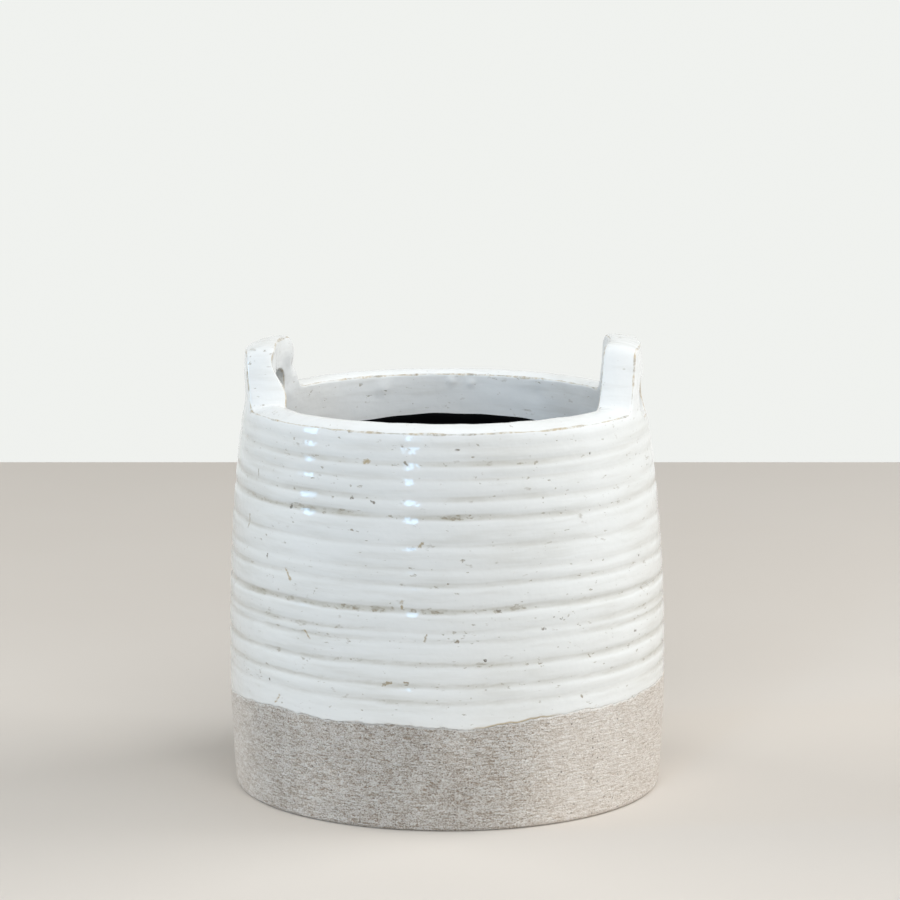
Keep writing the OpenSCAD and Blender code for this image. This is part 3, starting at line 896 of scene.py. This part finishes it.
def glaze_material():
    """White glaze: iron specks, grooves greyed by thinner glaze and painted shade, edges broken to
    brown.
    """
    looks, hand = settings("looks", "hand")
    material, graph, shader, place = new_material("specked_white_glaze")
    groove, gap, above, outer_face = [
        attribute(graph, name) for name in ("groove", "edge_gap", "above_edge", "outer_face")]
    flowing = flattened(place, 1.9)
    cloud = graph.noise(place, 24.0, 3.0)
    band = graph.noise(flattened(place, 9.0), 26.0, 3.0, 0.55)
    patch = graph.noise(flowing, 60.0, 3.0, 0.6)
    # The groove core is partly iron showing through thinner glaze and partly painted shade in the
    # grooves. It is full on the side facing front-left and falls to 0.45 round the rest, which
    # paints the brighter light on the right.
    core = (graph.remap(groove, 0.20, 0.80)
            * side_mask(graph, place, (-0.40, -0.92, 0.0), 0.55, 0.95, 0.45))
    # The greyer share sums the groove core, painted shade all along the grooves, random bands and
    # clouds, and 0.16 over the whole outer face. That outer share is partly thinner, specked glaze
    # and partly painted shade that keeps the outer wall darker than the inside.
    thin_glaze_and_shade = (core * graph.remap(patch, 0.35, 0.65, 0.35, 0.75)
            + graph.remap(groove, 0.05, 0.5) * 0.10 + graph.remap(band, 0.45, 0.75) * 0.20
            + graph.remap(cloud, 0.40, 0.70) * 0.08 + outer_face * 0.16)
    base = graph.blend(graph.math("MINIMUM", thin_glaze_and_shade, 1.0), looks.glaze, looks.glaze_thin_and_groove_shade)

    crowd = (patch - 0.5) * 0.26 + core * 0.12
    ragged = graph.noise(place, 900.0, 2.0, 0.6)
    stray = graph.out("ShaderNodeTexNoise", {"Vector": place, "Scale": 330.0, "Detail": 2.0},
                      "Color") - 0.5
    strayed = place + stray * (2.4 * MM)
    faint = graph.remap(graph.noise(flowing, 150.0, 3.0, 0.6, 2.0) + crowd, 0.64, 0.76)
    small = graph.remap(graph.noise(flowing, 270.0, 2.0, 0.55, 5.0) + crowd, 0.665, 0.735)
    large = specks(graph, strayed, 85.0, 0.10, 0.12, 0.55)
    base = graph.blend(faint * 0.42, base, looks.speck)
    base = graph.blend(small * graph.remap(ragged, 0.3, 0.7, 0.35, 0.8), base, looks.speck)
    base = graph.blend(large * graph.remap(ragged, 0.3, 0.6, 0.4, 0.9), base, looks.iron)
    form, group = WallForm(), mark_group()
    for turn, level, long, slant, half, dark in GLAZE_MARKS:
        way, rise, height = math.radians(turn), math.radians(slant), level * MM
        radius = float(form.outer(np.array(height)))
        lean = hand.lean * (height / form.pot.rim_height) ** LEAN_POWER
        middle = Vector((radius * math.cos(way) - lean, radius * math.sin(way), height))
        reach = 0.5 * long * MM * Vector((-math.sin(way) * math.cos(rise),
                                          math.cos(way) * math.cos(rise), math.sin(rise)))
        mask = graph.out("ShaderNodeGroup", {
            "Vector": strayed, "Start": middle - reach, "End": middle + reach,
            "Half width": half * MM, "Rough": ragged}, node_tree=group)
        shade = [a + dark * (b - a) for a, b in zip(looks.ochre, looks.iron)]
        base = graph.blend(mask * 0.8, base, shade)

    inward = graph.remap(graph.noise(place, 75.0, 3.0, 0.6), 0.32, 0.70, 0.10 * MM, 0.85 * MM) - gap
    broken = (graph.remap(inward, -0.20 * MM, 0.30 * MM)
              * graph.remap(graph.noise(place, 330.0, 3.0, 0.65), 0.38, 0.62, 0.20, 0.75))
    edge = graph.blend(graph.remap(graph.noise(place, 140.0, 2.0, 0.5, 9.0), 0.45, 0.62),
                       looks.ochre, looks.speck)
    base = graph.blend(broken, base, edge)
    low = graph.remap(above, 0.4 * MM, 1.5 * MM, 0.50, 0.30)
    frayed = graph.remap(low - graph.noise(flowing, 420.0, 3.0, 0.6), 0.0, 0.06)
    base = graph.blend(frayed * 0.55, base, looks.clay)
    scorched = (side_mask(graph, place, (0.36, -0.93, 0.0), 0.970, 0.992)
                * graph.remap(above, 0.8 * MM, 1.6 * MM, 0.75, 0.0))
    base = graph.blend(scorched, base, looks.ochre)

    marks = graph.math("MAXIMUM", graph.math("MAXIMUM", small, large), frayed)
    rough = graph.remap(marks * 0.4 + cloud, 0.3, 1.0, 0.05, 0.35)
    skin = (graph.noise(flowing, 75.0, 2.0, 0.5) * (0.30 * MM)
            + graph.noise(place, 330.0, 1.0) * (0.09 * MM))
    finish_surface(graph, shader, base, rough, skin - marks * (0.10 * MM))
    return material


def clay_material():
    """Bare fired clay: brushed round, gritty, pitted and bloomed with white, with painted shade in
    hollows and pits and painted light on grains.
    """
    name = "brushed_clay"
    if name in bpy.data.materials:
        return bpy.data.materials[name]
    looks, = settings("looks")
    material, graph, shader, place = new_material(name)
    brushed = flattened(place, 5.0)
    strokes = graph.noise(brushed, 210.0, 3.0, 0.75)
    blotch = graph.noise(place, 120.0, 2.0, 0.6)
    grain = graph.noise(flattened(place, 1.6), 1150.0, 2.0, 0.75)
    coarse = (side_mask(graph, place, (-0.30, -0.95, 0.0), 0.60, 0.95)
              * graph.remap(graph.noise(place, 24.0, 2.0), 0.30, 0.55, 0.5, 1.0))
    # The tone comes from the same noises as the relief below, so the clay is darker in its hollows
    # and paler on its raised strokes and grains. This is partly the clay's own mottling and partly
    # painted shade and painted light on the relief, with stronger contrast on the side facing
    # front-left.
    tone = strokes * 0.36 + grain * 0.56 + blotch * 0.08
    tone = (tone - 0.5) * (coarse * 1.2 + 0.7) + (coarse * 0.010 + 0.5)
    base = graph.blend(graph.remap(tone, 0.38, 0.52), looks.clay_dark, looks.clay)
    base = graph.blend(graph.remap(tone, 0.49, 0.60), base, looks.clay_light)
    # Pale dots, strongest on the side facing front-left: partly pale grit in the clay, partly
    # painted glints on its grains.
    pale_grit_and_glints = graph.remap(graph.noise(place, 900.0, 1.0, 0.5, 4.0), 0.62, 0.72)
    base = graph.blend(pale_grit_and_glints * (coarse * 0.7 + 0.35), base, looks.clay_light)
    # Dark pits, pushed in by the bump below and painted near black: partly dark grains of the clay,
    # partly painted shade in the pits.
    dark = graph.remap(graph.noise(place, 620.0, 2.0, 0.55, 8.0), 0.66, 0.74)
    shaded_pits = graph.math("MAXIMUM", dark, specks(graph, place, 420.0, 0.20, 0.15, 0.5))
    base = graph.blend(shaded_pits * 0.85, base, looks.clay_pit)
    below = graph.remap(attribute(graph, "above_edge"), -1.6 * MM, -0.05 * MM, 0.28, 0.56)
    splashed = graph.remap(below - graph.noise(brushed, 380.0, 3.0, 0.6), 0.0, 0.06)
    base = graph.blend(splashed * 0.8, base, looks.clay_light)
    height = (strokes * (1.3 * MM) + grain * (0.40 * MM)) * (coarse * 2.2 + 0.8)
    rough = graph.remap(strokes, 0.3, 0.7, 0.85, 0.45)
    finish_surface(graph, shader, base, rough, height - shaded_pits * (0.30 * MM))
    return material


def lining_material():
    """Matte black lining, brushed on, with a few dust specks."""
    looks, = settings("looks")
    material, graph, shader, place = new_material("brushed_black_lining")
    strokes = graph.noise(flattened(place, 6.0), 120.0, 4.0, 0.6)
    dust = specks(graph, place, 260.0, 0.10, 0.08)
    base = graph.blend(dust * 0.4, looks.lining, (0.10, 0.095, 0.09))
    shader.inputs["Specular IOR Level"].default_value = 0.05
    rough = graph.remap(strokes, 0.3, 0.7, 0.6, 0.85)
    finish_surface(graph, shader, base, rough, strokes * (0.3 * MM))
    return material


class PLANTER_OT_glaze(bpy.types.Operator):
    """Builds the glaze as one coat over the wall, the rim and both lugs"""

    bl_idname = "planter.glaze"
    bl_label = "Glaze"

    def execute(self, context):
        form = WallForm()
        coats, step = form.coats, form.pot.mesh_step
        shell = Shell(form)
        add_skin(shell, 0.0, lambda along: form.glaze_edge(along) + coats.bead, GLAZE_ROWS, step)
        add_skin(shell, coats.glaze, form.glaze_edge, UNDER_ROWS, step)
        whole = ring_columns(form, step)[2]
        bend = np.linspace(0, math.pi / 2, EDGE_STEPS + 1)[:, None]
        shell.grid(whole, coats.glaze * (1 - np.sin(bend)),
                   form.glaze_edge(whole) + coats.bead * (1 - np.cos(bend)))
        shell.grid(whole, np.array([[form.pot.wall], [form.pot.wall - coats.glaze]]),
                   coats.inner_low)
        finish_form("glaze", shell.mesh("glaze"), glaze_material(),
                    ("glaze_coat", "lug_glaze_left", "lug_glaze_right"))
        return {"FINISHED"}


class PLANTER_OT_clay(bpy.types.Operator):
    """Builds the clay body: the bare foot band and the wall and lugs under the glaze"""

    bl_idname = "planter.clay"
    bl_label = "Clay body"

    def execute(self, context):
        form = WallForm()
        pot, coats, step = form.pot, form.coats, form.pot.mesh_step
        shell = Shell(form)
        add_skin(shell, coats.glaze, form.glaze_edge, UNDER_ROWS, step)
        whole = ring_columns(form, step)[2]
        fine = np.interp(np.arange(2 * len(whole) - 1) / 2, np.arange(len(whole)), whole)
        under_bead = 1 - math.sqrt(1 - (1 - coats.proud / coats.glaze) ** 2)
        edge = form.glaze_edge(fine) + coats.bead * under_bead
        rows = np.linspace(0, 1, BAND_ROWS)[:, None]
        shell.grid(fine, coats.proud, pot.foot_round + rows * (edge - pot.foot_round))
        shell.join((whole, coats.glaze, form.glaze_edge(whole)), (fine, coats.proud, edge))
        bend = np.linspace(-math.pi / 2, 0, EDGE_STEPS + 1)[:, None]
        foot_height = pot.foot_round * (1 + np.sin(bend))
        foot_depth = coats.proud + pot.foot_round * (1 - np.cos(bend))
        shell.grid(fine, foot_depth, foot_height)
        bore = lambda height: (form.outer(np.asarray(height, float))
                               - form.outer(np.array(pot.floor_top)) + pot.wall)
        under = np.linspace(foot_depth[0, 0], float(bore(0.0)), 6)[1:, None]
        shell.join((whole, under[0], np.zeros(1)), (fine, foot_depth[0], np.zeros(1)))
        shell.grid(whole, under, 0.0)
        low = np.linspace(0, pot.floor_top, 4)[:, None]
        shell.grid(whole, bore(low), low)
        high = np.linspace(pot.floor_top, coats.inner_low, 16)[:, None]
        shell.grid(whole, pot.wall, high)
        shell.grid(whole, np.array([[pot.wall], [pot.wall - coats.glaze]]), coats.inner_low)
        finish_form("clay_body", shell.mesh("clay_body"), clay_material(),
                    ("thrown_wall", "lug_left", "lug_right"))
        return {"FINISHED"}


class PLANTER_OT_floor_slab(bpy.types.Operator):
    """Gives the floor slab its clay finish"""

    bl_idname = "planter.floor_slab"
    bl_label = "Floor slab"

    def execute(self, context):
        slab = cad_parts["floor_slab"]
        slab.data.materials.clear()
        slab.data.materials.append(clay_material())
        return {"FINISHED"}


class PLANTER_OT_lining(bpy.types.Operator):
    """Builds the black lining with its brushed upper edge"""

    bl_idname = "planter.lining"
    bl_label = "Lining"

    def execute(self, context):
        form = WallForm()
        pot, coats = form.pot, form.coats
        turn = np.linspace(0, 2 * math.pi, LINING_STEPS + 1)
        top, low = form.lining_edge(turn), pot.floor_top
        floor = low + coats.lining
        bore = lambda height: form.outer(np.maximum(height, low)) - pot.wall
        rows = [(bore(low) * part, low) for part in np.linspace(0, 1, 8)[:-1]]
        rows += [(bore(height), height) for height in np.linspace(low + 0 * top, top, 36)]
        rows += [(bore(top) - deep * coats.lining, top + up * coats.lining)
                 for deep, up in LINING_LIP[:-1]]
        rows += [(bore(height) - coats.lining, height) for height in
                 np.linspace(top + LINING_LIP[-1][1] * coats.lining, floor + COVE + 0 * top, 60)]
        rows += [(bore(floor) - coats.lining - COVE * (1 - math.cos(bend)),
                  floor + COVE * (1 - math.sin(bend)))
                 for bend in np.linspace(0, math.pi / 2, EDGE_STEPS + 1)[1:]]
        rows += [(rows[-1][0] * part, floor) for part in np.linspace(1, 0, 30)[1:]]
        radius, height = [np.stack([row[i] + 0 * turn for row in rows]) for i in (0, 1)]
        points = np.stack([radius * np.cos(turn), radius * np.sin(turn), height], -1).reshape(-1, 3)
        mesh = bpy.data.meshes.new("lining")
        mesh.from_pydata(points, [], grid_faces(0, *radius.shape))
        weld(mesh)
        finish_form("lining", mesh, lining_material(), ("waterproof_lining",))
        return {"FINISHED"}


class PLANTER_OT_stage(bpy.types.Operator):
    """Sets the table, the backdrop, the lights and the camera"""

    bl_idname = "planter.stage"
    bl_label = "Stage"

    def execute(self, context):
        stage, looks = settings("stage", "looks")
        scene = context.scene
        mesh = bpy.data.meshes.new("table")
        facing = -math.pi / 2 + stage.turn
        away = Vector((math.cos(facing), math.sin(facing), 0))
        right = Vector((-math.sin(facing), math.cos(facing), 0))
        reach, front = stage.table_reach, stage.table_front
        corners = [(-reach, -front), (reach, -front), (reach, reach), (-reach, reach)]
        mesh.from_pydata([right * x - away * y for x, y in corners], [], [(0, 1, 2, 3)])
        table = bpy.data.objects.new("table", mesh)
        scene.collection.objects.link(table)
        material, graph, shader, place = new_material("table")
        cloud = graph.noise(place, 6.0, 2.0)
        graph.feed(shader, "Base Color", graph.blend(cloud * 0.1, looks.floor, looks.backdrop))
        shader.inputs["Roughness"].default_value = 0.8
        shader.inputs["Specular IOR Level"].default_value = 0.1
        mesh.materials.append(material)

        world = bpy.data.worlds.new("studio")
        scene.world = world
        world.use_nodes = True
        sky = Graph(world.node_tree)
        shown = world.node_tree.nodes["Background"]
        shown.inputs["Color"].default_value = (1.0, 1.0, 1.0, 1.0)
        shown.inputs["Strength"].default_value = stage.dome
        seen = sky.out("ShaderNodeBackground", {"Color": (*looks.backdrop, 1.0), "Strength": 1.0})
        path = sky.add("ShaderNodeLightPath").outputs
        camera_ray, glossy, through = [Value(sky, path[name]) for name in (
            "Is Camera Ray", "Is Glossy Ray", "Is Transmission Ray")]
        either = sky.math("MAXIMUM", camera_ray, sky.math("MAXIMUM", glossy, through))
        mixed = sky.out("ShaderNodeMixShader",
                        {0: either, 1: Value(sky, shown.outputs[0]), 2: seen})
        sky.feed(world.node_tree.nodes["World Output"], 0, mixed)

        aim = Vector((0.0, 0.0, LAMP_AIM_HEIGHT))
        white, sky_blue = (1.0, 1.0, 1.0), (0.35, 0.65, 1.0)
        # Name, turn from the camera's side and height in degrees, distance, size, power and colour
        lamps = (
            ("front", 0, 28, 2.4, (2.2, 2.2), stage.front, (1.0, 0.99, 0.975)),
            ("left", -108, 25, 2.4, (1.6, 1.6), stage.left, (1.0, 0.96, 0.895)),
            ("right", 102, 25, 2.4, (1.6, 1.6), stage.right, (0.97, 0.985, 1.0)),
            ("overhead", 50, 60, 2.2, (1.6, 1.6), stage.overhead, white),
            ("window_left", -80, 18, 2.4, (0.24, 0.9), stage.window, sky_blue),
            ("window_front", -18, 18, 2.6, (0.26, 0.9), stage.window, sky_blue),
        )
        for name, turn, elevation, distance, size, watts, tone in lamps:
            azimuth, elevation = facing + math.radians(turn), math.radians(elevation)
            light = bpy.data.lights.new(name, "AREA")
            light.shape, light.size, light.size_y = "RECTANGLE", *size
            light.energy, light.color = watts, tone
            lamp = bpy.data.objects.new(name, light)
            scene.collection.objects.link(lamp)
            way = Vector((math.cos(azimuth) * math.cos(elevation),
                          math.sin(azimuth) * math.cos(elevation), math.sin(elevation)))
            lamp.location = aim + way * distance
            lamp.rotation_euler = way.to_track_quat("Z", "Y").to_euler()
            lamp.visible_glossy = name.startswith("window")

        camera = bpy.data.objects.new("camera", bpy.data.cameras.new("camera"))
        scene.collection.objects.link(camera)
        camera.data.lens, camera.data.sensor_width = stage.lens, SENSOR_WIDTH
        camera.location = (away * stage.distance + right * stage.sideways
                           + Vector((0, 0, stage.camera_height)))
        camera.rotation_euler = (math.pi / 2 - stage.pitch, 0, facing + math.pi / 2)
        scene.camera = camera
        scene.view_settings.view_transform = "Standard"
        return {"FINISHED"}


class PLANTER_PT_sidebar(bpy.types.Panel):
    """Lists the planter's settings and the steps that build it"""

    bl_label = "Planter"
    bl_idname = "PLANTER_PT_sidebar"
    bl_space_type = "VIEW_3D"
    bl_region_type = "UI"
    bl_category = "Planter"

    def draw(self, context):
        for name, group in SETTINGS.items():
            box = self.layout.box()
            box.label(text=name.replace("planter_", "").capitalize())
            for key in group.__annotations__:
                box.prop(getattr(context.scene, name), key)
        for operator in OPERATORS:
            self.layout.operator(operator.bl_idname)


OPERATORS = (PLANTER_OT_clay, PLANTER_OT_floor_slab, PLANTER_OT_glaze, PLANTER_OT_lining,
             PLANTER_OT_stage)


def register():
    """Registers the settings, the operators and the panel."""
    for group in (*SETTINGS.values(), *OPERATORS, PLANTER_PT_sidebar):
        bpy.utils.register_class(group)
    for name, group in SETTINGS.items():
        setattr(bpy.types.Scene, name, PointerProperty(type=group))


def unregister():
    """Removes what register adds."""
    for name in SETTINGS:
        delattr(bpy.types.Scene, name)
    for group in (PLANTER_PT_sidebar, *reversed(OPERATORS), *reversed(list(SETTINGS.values()))):
        bpy.utils.unregister_class(group)


def main():
    """Builds the planter and its stage."""
    register()
    bpy.ops.planter.clay()
    bpy.ops.planter.floor_slab()
    bpy.ops.planter.glaze()
    bpy.ops.planter.lining()
    bpy.ops.planter.stage()


if __name__ == "__main__":
    main()
